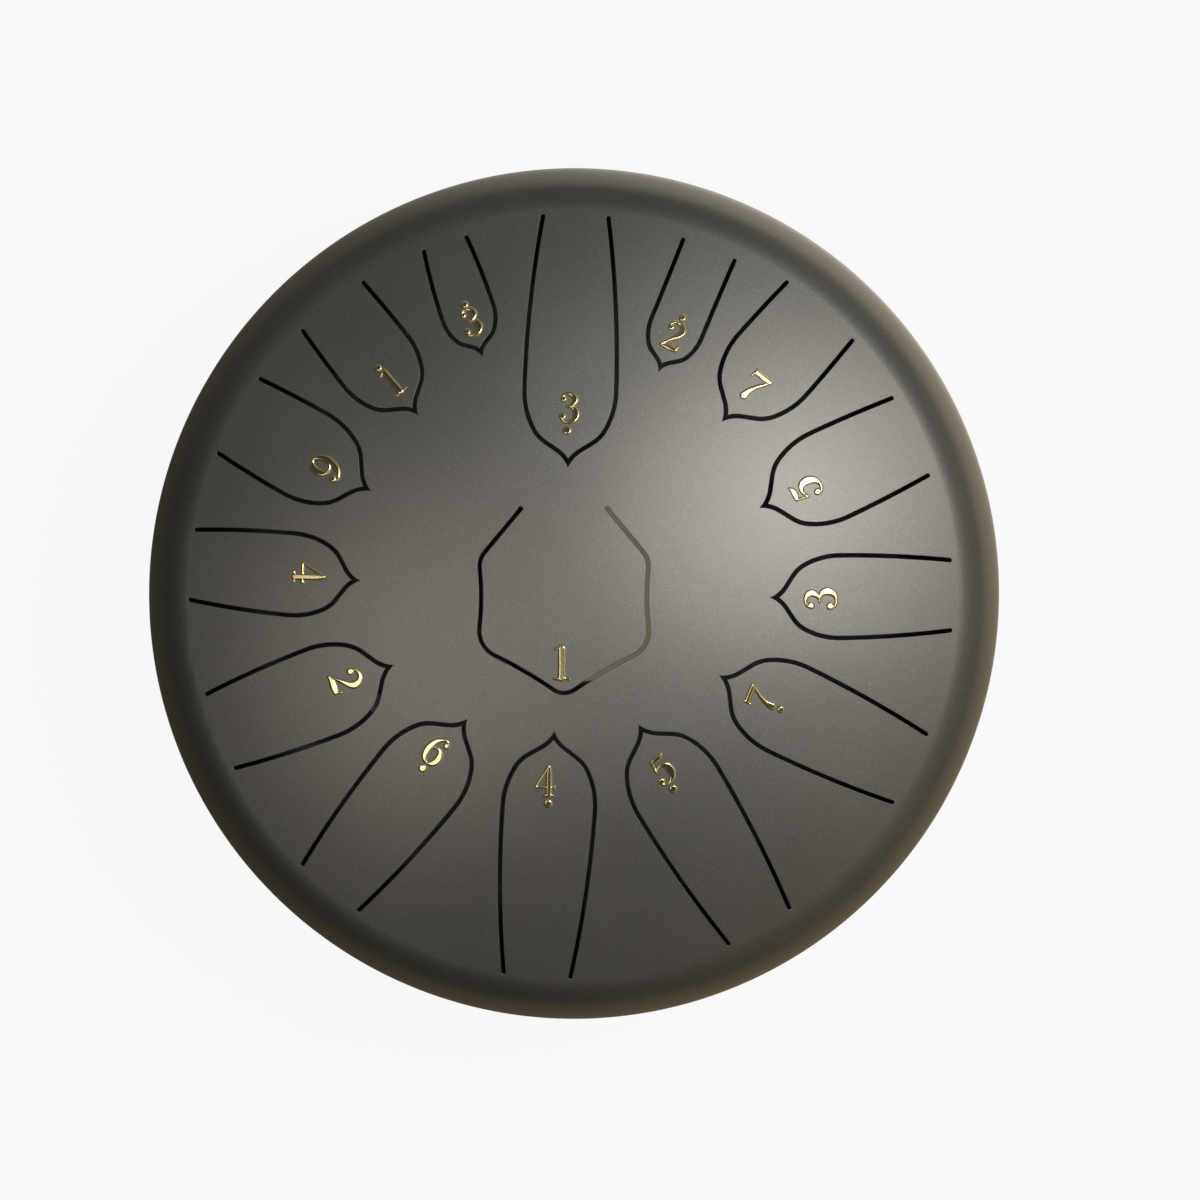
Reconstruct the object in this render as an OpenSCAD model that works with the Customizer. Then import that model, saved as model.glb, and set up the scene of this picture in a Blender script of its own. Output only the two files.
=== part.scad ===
// Steel tongue drum with fifteen tongues, two pressed shells and three rubber feet
// Lengths are in millimetres and angles in degrees. The drum stands on z = 0 and its axis is Z.

/* [Drum] */
// Outer diameter at the seam between the two shells
drum_d = 356; // [320:1:400]
// Height of the upper shell, from the seam to the crown
upper_h = 84; // [70:1:110]
// Height of the lower shell, from its flat underside to the seam
lower_h = 76; // [60:1:100]
// Thickness of the steel sheet that both shells are pressed from
sheet_t = 1.8; // [1.2:0.1:2.4]
// Draft of the side walls, which are widest at the seam
wall_draft = 5; // [2:0.5:8]

/* [Upper shell] */
// Radius of the shallow dome that the tongues are cut in
dome_r = 620; // [500:10:1000]
// Radius of the rounded shoulder between the dome and the wall
shoulder_r = 24; // [18:1:30]
// Height of the upright band above the seam
land_h = 10; // [6:1:14]

/* [Ring tongues] */
// Distance from the middle of the pattern to a typical tongue root
root_r = 155; // [145:0.5:156]
// Largest half width of the widest tongue, measured to the middle of its slot
tongue_half_w = 19; // [16:0.1:19.5]
// Width of the slot cut round each tongue
slot_w = 1.6; // [1.2:0.1:2]
// Running gap at the bending line where a tongue meets the shell
flex_gap = 0.03; // [0.02:0.01:0.05]
// How far the middle of the pattern lies to the right of the drum's axis
pattern_x = -3.5; // [-4:0.5:4]
// How far the middle of the pattern lies behind the drum's axis
pattern_y = -1; // [-4:0.5:4]

/* [Centre tongue] */
// Half width of the big tongue in the middle of the dome
centre_half_w = 33.5; // [30:0.1:34]
// Distance from the middle of the pattern to its blunt tip
centre_tip_r = 37.8; // [34:0.1:39]
// Distance from the middle of the pattern to its root
centre_root_r = 36.5; // [34:0.5:37]

/* [Lower shell] */
// Radius of the rounded corner between the flat underside and the wall
corner_r = 50; // [40:1:56]
// Inner diameter of the sound hole
hole_d = 80; // [70:1:100]
// Bend radius inside the turned-in lip of the sound hole
lip_bend_r = 2.5; // [1.5:0.5:4]
// Height of the turned-in lip above the underside
lip_h = 9; // [7:0.5:12]

/* [Seam] */
// Height of the joggled rim that laps inside the upper shell
lap_h = 8; // [5:0.5:9]
// Height over which the lower wall steps inwards below the lap
joggle_h = 3.2; // [2:0.1:4]
// Gap between the edges of the two shells, which the weld fills
weld_gap = 1.2; // [0.8:0.1:2]
// Play between the lap and the skirt round it
lap_play = 0.1; // [0.05:0.05:0.2]

/* [Feet] */
// Radius of the circle that the feet stand on
foot_circle_r = 100; // [85:1:108]
// Height of a foot
foot_h = 10; // [8:0.5:14]
// Diameter of a foot where it meets the shell
foot_top_d = 27; // [22:1:30]
// Diameter of a foot where it meets the floor
foot_base_d = 23; // [20:1:26]
// Radius of the rounded lower edge of a foot
foot_edge_r = 1.6; // [1:0.1:2.5]
// Diameter of the recess for the washer and the screw's head
foot_recess_d = 14; // [13:0.5:16]
// Height of the recess
foot_recess_h = 4.6; // [4.2:0.1:6]

/* [Foot fasteners] */
// Diameter of a foot screw
screw_d = 5; // [4:0.5:6]
// Length of a foot screw under its head
screw_l = 14; // [13:1:20]
// Diameter of the screw's pan head
head_d = 9.5; // [8:0.5:11]
// Height of the screw's head
head_h = 3; // [2:0.1:3]
// Radius of the rounded edge of the head
head_edge_r = 1.2; // [0.5:0.1:1.5]
// Width across the flats of the hexagon socket in the head
socket_af = 3; // [2.5:0.5:4]
// Depth of the socket
socket_h = 1.8; // [1.2:0.1:2]
// Outer diameter of the washer
washer_d = 12.5; // [10:0.5:12.5]
// Thickness of the washer
washer_t = 1; // [0.8:0.1:1.2]
// Width across the flats of the nut
nut_af = 8; // [7:0.5:10]
// Height of the nut
nut_h = 4; // [3:0.5:5]
// Play of the screw in the holes that it passes through
screw_play = 0.25; // [0.2:0.05:0.5]
// Play between the threads of the screw and the nut
thread_play = 0.05; // [0.02:0.01:0.1]

/* [Hidden] */
// Name, azimuth in degrees, then the distance of the tip, the distance of the root, the half width
// and the half width at the root. The distances are shares of root_r, the widths of tongue_half_w.
ring_shares = [
    ["tongue_low_3", 88.3, 0.357, 1.003, 0.979, 0.701],
    ["tongue_low_4", -94.2, 0.357, 0.994, 0.987, 0.720],
    ["tongue_low_5", -59.3, 0.393, 1.002, 0.988, 0.757],
    ["tongue_low_6", -129.0, 0.415, 0.978, 0.982, 0.781],
    ["tongue_low_7", -26.2, 0.464, 1.011, 0.988, 0.819],
    ["tongue_mid_2", -158.9, 0.490, 0.969, 0.979, 0.853],
    ["tongue_mid_3", 0.5, 0.551, 1.014, 0.883, 0.755],
    ["tongue_mid_4", 174.8, 0.548, 0.981, 0.875, 0.755],
    ["tongue_mid_5", 25.1, 0.577, 1.002, 0.979, 0.915],
    ["tongue_mid_6", 150.7, 0.592, 0.980, 0.971, 0.915],
    ["tongue_mid_7", 48.4, 0.634, 1.009, 0.972, 0.939],
    ["tongue_high_1", 128.4, 0.628, 0.979, 0.870, 0.830],
    ["tongue_high_2", 67.5, 0.657, 0.991, 0.576, 0.594],
    ["tongue_high_3", 108.6, 0.683, 0.982, 0.569, 0.482]
];
FOOT_NAMES = ["back", "left", "right"];

// Smoothness of round parts
$fn = 96;
SHELL_FN = 180;
// Straight steps in the section of a rounded corner, in each bend of a tongue's outline, and
// round the end of a slot
CORNER_STEPS = 18;
BEND_STEPS = 6;
END_STEPS = 6;
// Overrun of every cutting tool
cut = 1;

// Levels, from the floor up
under_z = foot_h;
seam_z = under_z + lower_h;
crown_z = seam_z + upper_h;
skirt_z = seam_z + weld_gap / 2;
joggle_top_z = seam_z - weld_gap / 2;
joggle_z = joggle_top_z - joggle_h;
upper_land_z = seam_z + land_h;
lower_land_z = seam_z - land_h;
seam_r = drum_d / 2;
skirt_r = seam_r - sheet_t;
lap_r = skirt_r - lap_play;
hole_r = hole_d / 2;
passing_r = screw_d / 2 + screw_play;
washer_z = foot_recess_h - washer_t;
slope = tan(wall_draft);

// Middle of the dome's sphere, and of the shoulder's arc that is tangent to the dome and to the wall
dome_z = crown_z - dome_r;
foot_of_wall = [seam_r - shoulder_r / cos(wall_draft), upper_land_z - dome_z];
quad_a = 1 + slope * slope;
quad_b = foot_of_wall[1] - foot_of_wall[0] * slope;
quad_c = foot_of_wall * foot_of_wall - (dome_r - shoulder_r) * (dome_r - shoulder_r);
shoulder_rise = (sqrt(quad_b * quad_b - quad_a * quad_c) - quad_b) / quad_a;
shoulder_c = [foot_of_wall[0] - shoulder_rise * slope, upper_land_z + shoulder_rise];
dome_tilt = atan(shoulder_c[0] / (shoulder_c[1] - dome_z));

// Middle of the lower shell's corner arc, which is tangent to the underside and to the wall
corner_z = under_z + corner_r;
corner_c = [seam_r - (lower_land_z - corner_z) * slope - corner_r / cos(wall_draft), corner_z];

// A point at a distance and an angle from another one
function polar(c, r, a) = c + r * [cos(a), sin(a)];

// Points along an arc, in equal steps
function arc(c, r, a_from, a_to, steps) =
    [for (i = [0 : steps]) polar(c, r, a_from + (a_to - a_from) * i / steps)];

// The first chord of the shoulder, lengthened so that it leaves the dome
function shoulder_arc(inset) =
    let (points = arc(shoulder_c, shoulder_r - inset, 90 - dome_tilt, wall_draft, CORNER_STEPS))
    [for (i = [0 : CORNER_STEPS]) i == 0 ? 3 * points[0] - 2 * points[1] : points[i]];

// Solid under the upper shell's outer surface, or under its inner one when inset by the sheet
module upper_form(inset, floor_z) {
    shoulder = shoulder_arc(inset);
    intersection() {
        translate([0, 0, dome_z]) sphere(r = dome_r - inset, $fn = 2 * SHELL_FN);
        rotate_extrude($fn = SHELL_FN) polygon(concat(
            [[0, floor_z], [0, crown_z + cut], [shoulder[0][0], crown_z + cut]],
            shoulder,
            [[seam_r - inset, upper_land_z], [seam_r - inset, floor_z]]
        ));
    }
}

// The upper shell as it is pressed, before the tongues are cut
module upper_pressing() {
    difference() {
        upper_form(0, skirt_z);
        upper_form(sheet_t, skirt_z - cut);
    }
}

// One side of an outline that starts at its tip on the X axis and opens towards +X.
// A bend is the straight length before it, its radius (negative where it curves outwards) and
// the heading after it. The side is moved outwards by grow.
function side(p, heading, bends, grow, i = 0) =
    i == len(bends) ? [] :
    let (
        start = p + bends[i][0] * [cos(heading), sin(heading)],
        radius = bends[i][1],
        end_heading = bends[i][2],
        middle = start + radius * [sin(heading), -cos(heading)],
        end = middle + radius * [-sin(end_heading), cos(end_heading)],
        from = i > 0 ? heading : acos(min(1, radius * cos(heading) / (radius + grow))),
        first = i > 0 && bends[i][0] == 0 ? 1 : 0
    )
    concat(
        [for (k = [first : BEND_STEPS])
            let (a = from + (end_heading - from) * k / BEND_STEPS)
            middle + (radius + grow) * [-sin(a), cos(a)]],
        side(end, end_heading, bends, grow, i + 1)
    );

// The upper half of an outline, carried on straight from its last bend to its root
function half_outline(shape, grow) =
    let (
        half = side([shape[1], 0], shape[2], shape[3], grow),
        last = half[len(half) - 1],
        lean = shape[3][len(shape[3]) - 1][2]
    )
    concat(half, [[shape[4], last[1] + (shape[4] - last[0]) * tan(lean)]]);

// A closed outline from its upper half
function mirrored(half) =
    concat(half, [for (i = [len(half) - 1 : -1 : 1]) [half[i][0], -half[i][1]]]);

// The round end of a slot, just past the root, from its outer to its inner edge
function slot_end(outer, inner) =
    let (radius = (outer[1] - inner[1]) / 2)
    arc([outer[0], inner[1] + radius], radius, 90, -acos(flex_gap / radius), END_STEPS);

// Outline of a tongue, inside its slot
function tongue_outline(shape) = mirrored(half_outline(shape, -slot_w / 2));

// Outline of the opening that the tongue lies in, outside its slot and round the slot's ends
function opening_outline(shape) =
    let (
        outer = half_outline(shape, slot_w / 2),
        inner = half_outline(shape, -slot_w / 2),
        root = len(outer) - 1
    )
    mirrored(concat([for (i = [0 : root - 1]) outer[i]], slot_end(outer[root], inner[root])));

// Bends of a ring tongue: a pointed tip that curves outwards, two bends to the widest place,
// and a long one that draws the tongue in towards its root. Radii are shares of the half width.
TIP_HEADING = 30;
TIP_FLARE = 57;
TIP_BACK = 29;
flare_share = 0.79;
back_share = 0.8;
belly_share = 1.76;
straight_root_share = 0.15;

function ring_bends(half_w, root_half_w, len_u) =
    let (
        flare = flare_share * half_w,
        back = back_share * half_w,
        belly = belly_share * half_w,
        rise = flare * (cos(TIP_HEADING) - cos(TIP_FLARE)) + back * (cos(TIP_BACK) - cos(TIP_FLARE))
            + belly * (1 - cos(TIP_BACK)),
        straight = (half_w - rise) / sin(TIP_FLARE),
        belly_u = flare * (sin(TIP_FLARE) - sin(TIP_HEADING)) + straight * cos(TIP_FLARE)
            + back * (sin(TIP_FLARE) - sin(TIP_BACK)) + belly * sin(TIP_BACK),
        run = len_u - belly_u,
        root_straight = straight_root_share * half_w,
        draw_in = 2 * atan((half_w - root_half_w) / (run + root_straight))
    )
    [
        [0, -flare, TIP_FLARE],
        [straight, back, TIP_BACK],
        [0, belly, 0],
        [0, (run - root_straight * cos(draw_in)) / sin(draw_in), -draw_in]
    ];

// A tongue's shape is its azimuth, the place of its tip, its first heading, its bends, and the
// place of its root, all along its own axis from the middle of the pattern
function ring_shape(row) =
    let (
        tip_x = row[2] * root_r,
        root_x = row[3] * root_r,
        half_w = row[4] * tongue_half_w,
        root_half_w = row[5] * tongue_half_w
    )
    [row[1], tip_x, TIP_HEADING, ring_bends(half_w, root_half_w, root_x - tip_x), root_x];

// Bends of the centre tongue: a blunt tip, sides that spread, a rounded corner, a slight waist
// and a second corner towards the root. Radii are shares of the half width. Its root is at the back.
CENTRE_HEADINGS = [55, 64.5, -6.7, 6, -39.7];
centre_bend_shares = [0.23, -4.9, 0.334, -3.2, 0.27];

function centre_bends(half_w) =
    [for (i = [0 : len(CENTRE_HEADINGS) - 1]) [0, centre_bend_shares[i] * half_w, CENTRE_HEADINGS[i]]];

CENTRE_SHAPE = [90, -centre_tip_r, 90, centre_bends(centre_half_w), centre_root_r];

// Tall prism over a shape's outline, wide enough to cut through the dome
module prism(shape, points) {
    translate([pattern_x, pattern_y, seam_z]) rotate([0, 0, shape[0]])
        linear_extrude(height = upper_h + cut) polygon(points);
}

module upper_shell() {
    color("dimgray") difference() {
        upper_pressing();
        prism(CENTRE_SHAPE, opening_outline(CENTRE_SHAPE));
        for (row = ring_shares) prism(ring_shape(row), opening_outline(ring_shape(row)));
    }
}

module tongue(shape) {
    color("gray") intersection() {
        upper_pressing();
        prism(shape, tongue_outline(shape));
    }
}

// The lower shell is one revolved section: the turned-in lip of the sound hole, the flat
// underside, the corner, the wall, and the rim that steps inwards and laps inside the upper shell
module lower_shell() {
    lip_c = [hole_r + sheet_t + lip_bend_r, under_z + sheet_t + lip_bend_r];
    color("dimgray") difference() {
        rotate_extrude($fn = SHELL_FN) polygon(concat(
            [[hole_r, under_z + lip_h]],
            arc(lip_c, lip_bend_r + sheet_t, 180, 270, CORNER_STEPS / 3),
            arc(corner_c, corner_r, -90, -wall_draft, CORNER_STEPS),
            [
                [seam_r, lower_land_z],
                [seam_r, joggle_z],
                [lap_r, joggle_top_z],
                [lap_r, seam_z + lap_h],
                [lap_r - sheet_t, seam_z + lap_h],
                [lap_r - sheet_t, joggle_top_z],
                [skirt_r, joggle_z],
                [skirt_r, lower_land_z]
            ],
            arc(corner_c, corner_r - sheet_t, -wall_draft, -90, CORNER_STEPS),
            arc(lip_c, lip_bend_r, 270, 180, CORNER_STEPS / 3),
            [[hole_r + sheet_t, under_z + lip_h]]
        ));
        for (i = [0 : len(FOOT_NAMES) - 1]) at_foot(i)
            translate([0, 0, under_z - cut]) cylinder(r = passing_r, h = sheet_t + 2 * cut);
    }
}

// Weld bead in the groove between the two shells, ground flush with the wall
module seam_weld() {
    color("slategray") rotate_extrude($fn = SHELL_FN) polygon([
        [seam_r, joggle_z],
        [seam_r, skirt_z],
        [lap_r, skirt_z],
        [lap_r, joggle_top_z]
    ]);
}

// The feet stand evenly round the sound hole, the first at the back
module at_foot(i) {
    rotate([0, 0, 90 + 360 * i / len(FOOT_NAMES)]) translate([foot_circle_r, 0, 0]) children();
}

// Moulded rubber foot, tapered towards the floor, with a recess for the washer and the screw's head
module foot(i) {
    top_r = foot_top_d / 2;
    base_r = foot_base_d / 2;
    recess_r = foot_recess_d / 2;
    lean = atan((top_r - base_r) / foot_h);
    edge_c = [base_r + foot_edge_r * tan(lean) - foot_edge_r / cos(lean), foot_edge_r];
    color("darkslategray") at_foot(i) rotate_extrude() polygon(concat(
        [[passing_r, foot_h], [passing_r, foot_recess_h], [recess_r, foot_recess_h], [recess_r, 0]],
        arc(edge_c, foot_edge_r, -90, -lean, CORNER_STEPS / 3),
        [[top_r, foot_h]]
    ));
}

// Pan head screw with a hexagon socket, pushed up through the foot and the shell
module foot_screw(i) {
    head_r = head_d / 2;
    edge_c = [head_r - head_edge_r, washer_z - head_h + head_edge_r];
    color("silver") at_foot(i) difference() {
        union() {
            rotate_extrude() polygon(concat(
                [[0, washer_z], [0, washer_z - head_h]],
                arc(edge_c, head_edge_r, -90, 0, CORNER_STEPS / 3),
                [[head_r, washer_z]]
            ));
            translate([0, 0, washer_z - cut]) cylinder(d = screw_d, h = screw_l + cut);
        }
        translate([0, 0, washer_z - head_h - cut])
            cylinder(d = socket_af / cos(30), h = socket_h + cut, $fn = 6);
    }
}

module foot_washer(i) {
    color("silver") at_foot(i) translate([0, 0, washer_z]) difference() {
        cylinder(d = washer_d, h = washer_t);
        translate([0, 0, -cut]) cylinder(r = passing_r, h = washer_t + 2 * cut);
    }
}

// Hexagon nut inside the drum, reached through the sound hole
module foot_nut(i) {
    color("silver") at_foot(i) translate([0, 0, under_z + sheet_t]) difference() {
        cylinder(d = nut_af / cos(30), h = nut_h, $fn = 6);
        translate([0, 0, -cut]) cylinder(r = screw_d / 2 + thread_play, h = nut_h + 2 * cut);
    }
}

upper_shell();
lower_shell();
seam_weld();
tongue(CENTRE_SHAPE);  // tongue_mid_1
for (row = ring_shares) tongue(ring_shape(row));
for (i = [0 : len(FOOT_NAMES) - 1]) {
    foot(i);
    foot_screw(i);
    foot_washer(i);
    foot_nut(i);
}
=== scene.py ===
"""A steel tongue drum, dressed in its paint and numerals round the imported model. Shapes are in mm."""
import math

import bpy
import numpy as np
from mathutils import Matrix, Vector
from mathutils.geometry import delaunay_2d_cdt


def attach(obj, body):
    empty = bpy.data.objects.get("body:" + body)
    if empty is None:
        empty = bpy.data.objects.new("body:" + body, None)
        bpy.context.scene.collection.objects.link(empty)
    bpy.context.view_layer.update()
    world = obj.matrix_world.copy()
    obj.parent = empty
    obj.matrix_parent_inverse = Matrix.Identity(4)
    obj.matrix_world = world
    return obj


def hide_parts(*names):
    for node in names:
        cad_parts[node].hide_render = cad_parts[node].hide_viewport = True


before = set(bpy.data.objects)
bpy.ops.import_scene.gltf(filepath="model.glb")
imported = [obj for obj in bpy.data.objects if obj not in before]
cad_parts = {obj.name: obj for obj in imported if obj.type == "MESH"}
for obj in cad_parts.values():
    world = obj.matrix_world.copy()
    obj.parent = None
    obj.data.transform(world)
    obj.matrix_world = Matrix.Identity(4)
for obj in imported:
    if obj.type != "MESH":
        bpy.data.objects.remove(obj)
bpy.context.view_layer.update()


# Spray paint: a dark grey metallic paint over steel, satin, with fine flakes and the faint
# orange peel of a sprayed coat. It covers the shells, the tongues and the weld.
class Wire:
    """A number that runs between shader nodes. Arithmetic on it adds Math nodes."""

    def __init__(self, tree, socket):
        self.tree, self.socket = tree, socket

    def work(self, operation, *values):
        node = self.tree.nodes.new("ShaderNodeMath")
        node.operation = operation
        for socket, value in zip(node.inputs, values):
            plug(self.tree, socket, value)
        return Wire(self.tree, node.outputs[0])

    def __add__(self, other):
        return self.work("ADD", self, other)

    def __sub__(self, other):
        return self.work("SUBTRACT", self, other)

    def __rsub__(self, other):
        return self.work("SUBTRACT", other, self)

    def __mul__(self, other):
        return self.work("MULTIPLY", self, other)

    def __gt__(self, other):
        return self.work("GREATER_THAN", self, other)

    __radd__ = __add__
    __rmul__ = __mul__


def plug(tree, socket, value):
    """Links a wire to a socket, or sets the socket to a plain value."""
    if isinstance(value, Wire):
        tree.links.new(value.socket, socket)
    else:
        socket.default_value = value


class Nodes:
    """A node tree, and the nodes that are added to it."""

    def __init__(self, holder):
        holder.use_nodes = True
        self.tree = holder.node_tree

    def node(self, kind, settings=None, values=None, output=0):
        """Adds a node: its settings first, then its sockets' values or links."""
        node = self.tree.nodes.new("ShaderNode" + kind)
        for name, value in (settings or {}).items():
            if name == "stops":
                ramp = node.color_ramp.elements
                for i, (place, colour) in enumerate(value):
                    stop = ramp[i] if i < 2 else ramp.new(place)
                    stop.position, stop.color = place, colour
            else:
                setattr(node, name, value)
        for socket, value in (values or {}).items():
            plug(self.tree, node.inputs[socket], value)
        return Wire(self.tree, node.outputs[output])

    def place(self):
        """Points of the object, in metres."""
        return self.node("TexCoord", output=3)

    def split(self, vector):
        """The three numbers of a vector."""
        return [self.node("SeparateXYZ", None, {0: vector}, k) for k in range(3)]

    def noise(self, scale, detail=2.0, rough=0.5, place=None):
        """Smooth noise round 0.5, with a given number of grains in a metre."""
        return self.node("TexNoise", None, {
            "Vector": place or self.place(), "Scale": scale, "Detail": detail, "Roughness": rough})

    def mix(self, share, first, second):
        """A colour between two colours."""
        return self.node("Mix", {"data_type": "RGBA"}, {0: share, 6: first, 7: second}, 2)

    def bump(self, height, depth, normal=None):
        """A normal from a height between 0 and 1, with the depth in metres."""
        values = {"Height": height, "Distance": depth}
        if normal:
            values["Normal"] = normal
        return self.node("Bump", None, values)


class Finish(Nodes):
    """One material: a Principled shader with its plain values, and the nodes that feed it."""

    def __init__(self, slot, **plain):
        self.slot, self.material = slot, bpy.data.materials.new(slot + "_finish")
        super().__init__(self.material)
        self.shader = self.tree.nodes["Principled BSDF"]
        self.feed(**plain)

    def feed(self, **values):
        """Plugs values into the shader's sockets, named with underscores for spaces."""
        for name, value in values.items():
            plug(self.tree, self.shader.inputs[name.replace("_", " ")], value)


def grey(level, warmth=0.0):
    """A neutral colour, made warmer by a share: a little more red, and much less blue."""
    return (level * (1 + warmth), level, level * (1 - 4 * warmth), 1.0)


paint = Finish("shell_paint", Metallic=0.85, IOR=1.45)
specks = paint.noise(1500.0, 3.0, 0.7)
flakes = paint.node("TexVoronoi", {"feature": "F1"}, {"Vector": paint.place(), "Scale": 2600.0}, 1)
flake = paint.node("SeparateColor", None, {0: flakes})
cloud = paint.noise(18.0, 2.0)
tone = 0.35 + 0.9 * (specks - 0.5) + 0.35 * (flake > 0.93) + 0.25 * (cloud - 0.5)
paint.feed(
    Base_Color=paint.mix(tone, grey(0.15, 0.025), grey(0.27, 0.02)),
    Roughness=0.40 + 0.10 * (specks - 0.5) + 0.05 * (cloud - 0.5),
    Normal=paint.bump(paint.noise(700.0, 2.0), 0.00002, paint.bump(specks, 0.000012)),
)


# Upper shell: one sheet of steel pressed into a shallow dome with a rounded shoulder and a short
# wall, then cut along the slots of its tongues, its edges eased, and sprayed with the tongues.
SHEET = 1.8
DOME_R, DOME_Z = 620.0, -450.0
SHOULDER_R = 24.0
SEAM_R, DRAFT = 178.0, math.radians(5)
LAND_TOP, LAND_FOOT = 96.0, 86.6
SLOT_W, EASE, FLEX_GAP, LEAN = 1.6, 0.22, 0.012, 0.02
PATTERN = np.array([-3.5, -1.0])
ROOT_R, HALF_W = 155.0, 19.0
ROUND = 360
ACROSS = 9

# Azimuth in degrees, then the places of the tip and the root as shares of ROOT_R, and the half
# widths at the belly and at the root as shares of HALF_W.
RING_TONGUES = {
    "low_3": (88.3, 0.357, 1.003, 0.979, 0.701),
    "low_4": (-94.2, 0.357, 0.994, 0.987, 0.720),
    "low_5": (-59.3, 0.393, 1.002, 0.988, 0.757),
    "low_6": (-129.0, 0.415, 0.978, 0.982, 0.781),
    "low_7": (-26.2, 0.464, 1.011, 0.988, 0.819),
    "mid_2": (-158.9, 0.490, 0.969, 0.979, 0.853),
    "mid_3": (0.5, 0.551, 1.014, 0.883, 0.755),
    "mid_4": (174.8, 0.548, 0.981, 0.875, 0.755),
    "mid_5": (25.1, 0.577, 1.002, 0.979, 0.915),
    "mid_6": (150.7, 0.592, 0.980, 0.971, 0.915),
    "mid_7": (48.4, 0.634, 1.009, 0.972, 0.939),
    "high_1": (128.4, 0.628, 0.979, 0.870, 0.830),
    "high_2": (67.5, 0.657, 0.991, 0.576, 0.594),
    "high_3": (108.6, 0.683, 0.982, 0.569, 0.482),
}


def turned(angle):
    """Direction of an angle in degrees."""
    return np.array([math.cos(math.radians(angle)), math.sin(math.radians(angle))])


def ring_shape(azimuth, tip, root, belly, neck):
    """Azimuth, tip, first heading, bends and root of a ring tongue. A bend is the straight run
    before it, its radius (negative where it curves outwards) and the heading after it."""
    tip, root, half, neck = tip * ROOT_R, root * ROOT_R, belly * HALF_W, neck * HALF_W
    flare, back, swell = 0.79 * half, 0.8 * half, 1.76 * half
    cos30, cos57, cos29 = (math.cos(math.radians(a)) for a in (30, 57, 29))
    sin30, sin57, sin29 = (math.sin(math.radians(a)) for a in (30, 57, 29))
    rise = flare * (cos30 - cos57) + back * (cos29 - cos57) + swell * (1 - cos29)
    straight = (half - rise) / sin57
    belly_x = (flare * (sin57 - sin30) + straight * cos57 + back * (sin57 - sin29) + swell * sin29)
    run, end = root - tip - belly_x, 0.15 * half
    draw = 2 * math.atan((half - neck) / (run + end))
    last = (run - end * math.cos(draw)) / math.sin(draw)
    bends = [(0, -flare, 57), (straight, back, 29), (0, swell, 0), (0, last, -math.degrees(draw))]
    return azimuth, tip, 30.0, bends, root


def centre_shape():
    """The centre tongue: a blunt tip, spreading sides, a corner, a slight waist and a corner."""
    radii = np.array([0.23, -4.9, 0.334, -3.2, 0.27]) * 33.5
    bends = [(0, radius, heading) for radius, heading in zip(radii, (55, 64.5, -6.7, 6, -39.7))]
    return 90.0, -37.8, 90.0, bends, 36.5


SHAPES = {"mid_1": centre_shape(), **{n: ring_shape(*row) for n, row in RING_TONGUES.items()}}


def half_outline(shape, grow):
    """The upper half of a tongue's outline, moved outwards by grow, and its outward directions.
    A bend is its middle plus (radius + grow) times the direction square to the heading."""
    _, tip, heading, bends, root = shape
    place, points, outward = np.array([tip, 0.0]), [], []
    for i, (straight, radius, heading_after) in enumerate(bends):
        place = place + straight * turned(heading)
        middle = place + radius * turned(heading - 90)
        start = heading
        if i == 0:
            across = radius * math.cos(math.radians(heading)) / (radius + grow)
            start = math.degrees(math.acos(min(1.0, across)))
        steps = 24 if i == len(bends) - 1 else 10
        angles = np.radians(np.linspace(start, heading_after, steps + 1)[int(i > 0 and straight == 0):])
        square = np.stack([-np.sin(angles), np.cos(angles)], 1)
        points.append(middle + (radius + grow) * square)
        outward.append(square)
        place, heading = middle + radius * turned(heading_after + 90), heading_after
    points, outward = np.concatenate(points), np.concatenate(outward)
    end = points[-1] + (root - points[-1, 0]) * np.array([1.0, math.tan(math.radians(heading))])
    points, outward = np.vstack([points, end]), np.vstack([outward, outward[-1:]])
    points[0, 1], outward[0] = 0.0, (-1.0, 0.0)
    return points, outward


def closed_outline(half, outward, root_x):
    """The half outline, a straight root line of ACROSS points, and the mirrored half."""
    inside = np.linspace(1.0, -1.0, ACROSS)[1:-1, None] * half[-1] * [0.0, 1.0] + [root_x, 0.0]
    flip = np.array([1.0, -1.0])
    points = np.vstack([half, inside, half[:0:-1] * flip])
    outward = np.vstack([outward, np.tile([1.0, 0.0], (len(inside), 1)), outward[:0:-1] * flip])
    return points, outward


def on_drum(shape, points):
    """Turns points or directions of a tongue's own axes to its azimuth."""
    along = turned(shape[0])
    return points @ np.array([along, [-along[1], along[0]]])


def tongue_loop(shape, ease):
    """Outline of a tongue, inside its slot and ease further in, on the drum."""
    half, outward = half_outline(shape, -SLOT_W / 2 - ease)
    half[-1, 0] -= FLEX_GAP / 2
    points, outward = closed_outline(half, outward, half[-1, 0])
    return on_drum(shape, points) + PATTERN, on_drum(shape, outward)


def opening_loop(shape, ease):
    """Outline of an opening: outside the slot by ease, round the slot's end, then the root line."""
    outer, outward = half_outline(shape, SLOT_W / 2 + ease)
    inner, _ = half_outline(shape, -SLOT_W / 2 - ease)
    radius = (outer[-1, 1] - inner[-1, 1]) / 2
    angles = np.radians(np.linspace(90, -90, 13)[1:])
    square = np.stack([np.cos(angles), np.sin(angles)], 1)
    half = np.vstack([outer, [outer[-1, 0], inner[-1, 1] + radius] + radius * square])
    half[-1, 0] += FLEX_GAP / 2
    points, outward = closed_outline(half, np.vstack([outward, square]), half[-1, 0])
    return on_drum(shape, points) + PATTERN, on_drum(shape, outward)


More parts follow.
